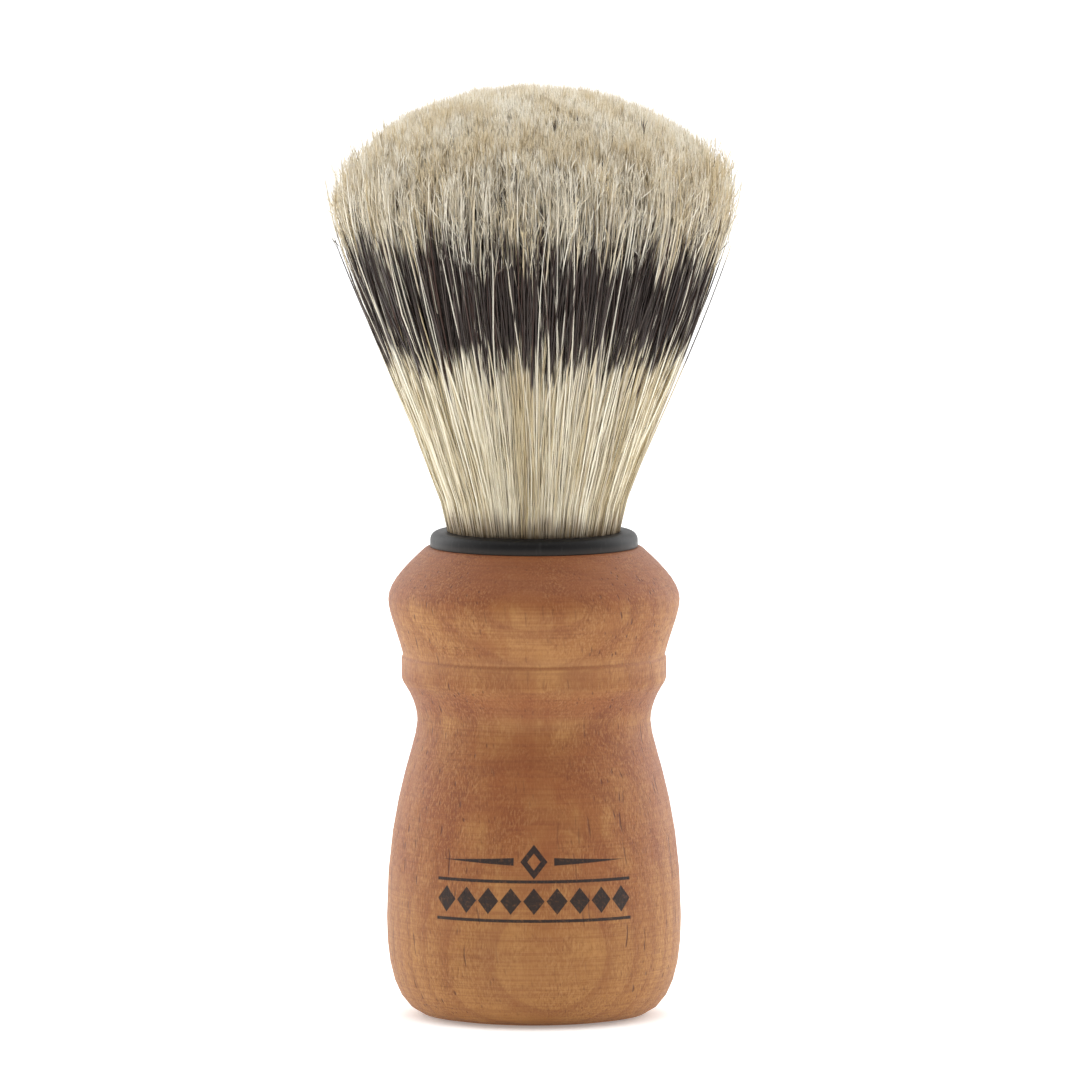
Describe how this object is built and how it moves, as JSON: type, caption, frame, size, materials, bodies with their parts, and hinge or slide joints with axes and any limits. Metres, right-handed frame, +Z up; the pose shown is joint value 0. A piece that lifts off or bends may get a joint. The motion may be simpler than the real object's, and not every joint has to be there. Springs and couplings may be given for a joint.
{
  "type": "shaving brush",
  "caption": "Shaving brush with a turned beech handle, a black moulded cup and a fan-shaped knot of banded boar bristle whose outer locks splay outwards in use.",
  "frame": {"origin": "centre of the flat foot that the brush stands on", "axes": "+Z up along the turning axis, from the foot through the cup to the crown of the knot; -Y is the side with the ornament"},
  "size_m": [0.0496, 0.0496, 0.1189],
  "materials": {
    "beech": "stained, satin lacquer",
    "black_plastic": "satin moulded",
    "glue": "set glue, glossy",
    "potting_resin": "amber cast resin, glossy",
    "binding_twine": "waxed cotton",
    "boar_bristle": "natural bristle with a dyed dark band"
  },
  "bodies": {
    "handle": {"handle": "beech", "knot_cup": "black_plastic", "socket_adhesive": "glue", "resin_plug": "potting_resin", "binding_cord": "binding_twine", "bristle_roots": "boar_bristle", "bristle_core": "boar_bristle"},
    "bristle_lock_01": {"bristle_lock_01": "boar_bristle"},
    "bristle_lock_02": {"bristle_lock_02": "boar_bristle"},
    "bristle_lock_03": {"bristle_lock_03": "boar_bristle"},
    "bristle_lock_04": {"bristle_lock_04": "boar_bristle"},
    "bristle_lock_05": {"bristle_lock_05": "boar_bristle"},
    "bristle_lock_06": {"bristle_lock_06": "boar_bristle"},
    "bristle_lock_07": {"bristle_lock_07": "boar_bristle"},
    "bristle_lock_08": {"bristle_lock_08": "boar_bristle"},
    "bristle_lock_09": {"bristle_lock_09": "boar_bristle"},
    "bristle_lock_10": {"bristle_lock_10": "boar_bristle"},
    "bristle_lock_11": {"bristle_lock_11": "boar_bristle"},
    "bristle_lock_12": {"bristle_lock_12": "boar_bristle"},
    "bristle_lock_13": {"bristle_lock_13": "boar_bristle"},
    "bristle_lock_14": {"bristle_lock_14": "boar_bristle"},
    "bristle_lock_15": {"bristle_lock_15": "boar_bristle"},
    "bristle_lock_16": {"bristle_lock_16": "boar_bristle"}
  },
  "joints": [
    {"name": "splay_01", "type": "hinge", "parent": "handle", "child": "bristle_lock_01", "pos_m": [0.0108, 0, 0.0623], "axis": [0, 1, 0], "range_deg": [0, 25], "stiffness_Nm_per_rad": 0.02, "springref_deg": -2.86},
    {"name": "splay_02", "type": "hinge", "parent": "handle", "child": "bristle_lock_02", "pos_m": [0.00998, 0.00413, 0.0623], "axis": [-0.3827, 0.9239, 0], "range_deg": [0, 25], "stiffness_Nm_per_rad": 0.02, "springref_deg": -2.86},
    {"name": "splay_03", "type": "hinge", "parent": "handle", "child": "bristle_lock_03", "pos_m": [0.00764, 0.00764, 0.0623], "axis": [-0.7071, 0.7071, 0], "range_deg": [0, 25], "stiffness_Nm_per_rad": 0.02, "springref_deg": -2.86},
    {"name": "splay_04", "type": "hinge", "parent": "handle", "child": "bristle_lock_04", "pos_m": [0.00413, 0.00998, 0.0623], "axis": [-0.9239, 0.3827, 0], "range_deg": [0, 25], "stiffness_Nm_per_rad": 0.02, "springref_deg": -2.86},
    {"name": "splay_05", "type": "hinge", "parent": "handle", "child": "bristle_lock_05", "pos_m": [0, 0.0108, 0.0623], "axis": [-1, 0, 0], "range_deg": [0, 25], "stiffness_Nm_per_rad": 0.02, "springref_deg": -2.86},
    {"name": "splay_06", "type": "hinge", "parent": "handle", "child": "bristle_lock_06", "pos_m": [-0.00413, 0.00998, 0.0623], "axis": [-0.9239, -0.3827, 0], "range_deg": [0, 25], "stiffness_Nm_per_rad": 0.02, "springref_deg": -2.86},
    {"name": "splay_07", "type": "hinge", "parent": "handle", "child": "bristle_lock_07", "pos_m": [-0.00764, 0.00764, 0.0623], "axis": [-0.7071, -0.7071, 0], "range_deg": [0, 25], "stiffness_Nm_per_rad": 0.02, "springref_deg": -2.86},
    {"name": "splay_08", "type": "hinge", "parent": "handle", "child": "bristle_lock_08", "pos_m": [-0.00998, 0.00413, 0.0623], "axis": [-0.3827, -0.9239, 0], "range_deg": [0, 25], "stiffness_Nm_per_rad": 0.02, "springref_deg": -2.86},
    {"name": "splay_09", "type": "hinge", "parent": "handle", "child": "bristle_lock_09", "pos_m": [-0.0108, 0, 0.0623], "axis": [0, -1, 0], "range_deg": [0, 25], "stiffness_Nm_per_rad": 0.02, "springref_deg": -2.86},
    {"name": "splay_10", "type": "hinge", "parent": "handle", "child": "bristle_lock_10", "pos_m": [-0.00998, -0.00413, 0.0623], "axis": [0.3827, -0.9239, 0], "range_deg": [0, 25], "stiffness_Nm_per_rad": 0.02, "springref_deg": -2.86},
    {"name": "splay_11", "type": "hinge", "parent": "handle", "child": "bristle_lock_11", "pos_m": [-0.00764, -0.00764, 0.0623], "axis": [0.7071, -0.7071, 0], "range_deg": [0, 25], "stiffness_Nm_per_rad": 0.02, "springref_deg": -2.86},
    {"name": "splay_12", "type": "hinge", "parent": "handle", "child": "bristle_lock_12", "pos_m": [-0.00413, -0.00998, 0.0623], "axis": [0.9239, -0.3827, 0], "range_deg": [0, 25], "stiffness_Nm_per_rad": 0.02, "springref_deg": -2.86},
    {"name": "splay_13", "type": "hinge", "parent": "handle", "child": "bristle_lock_13", "pos_m": [0, -0.0108, 0.0623], "axis": [1, 0, 0], "range_deg": [0, 25], "stiffness_Nm_per_rad": 0.02, "springref_deg": -2.86},
    {"name": "splay_14", "type": "hinge", "parent": "handle", "child": "bristle_lock_14", "pos_m": [0.00413, -0.00998, 0.0623], "axis": [0.9239, 0.3827, 0], "range_deg": [0, 25], "stiffness_Nm_per_rad": 0.02, "springref_deg": -2.86},
    {"name": "splay_15", "type": "hinge", "parent": "handle", "child": "bristle_lock_15", "pos_m": [0.00764, -0.00764, 0.0623], "axis": [0.7071, 0.7071, 0], "range_deg": [0, 25], "stiffness_Nm_per_rad": 0.02, "springref_deg": -2.86},
    {"name": "splay_16", "type": "hinge", "parent": "handle", "child": "bristle_lock_16", "pos_m": [0.00998, -0.00413, 0.0623], "axis": [0.3827, 0.9239, 0], "range_deg": [0, 25], "stiffness_Nm_per_rad": 0.02, "springref_deg": -2.86}
  ]
}
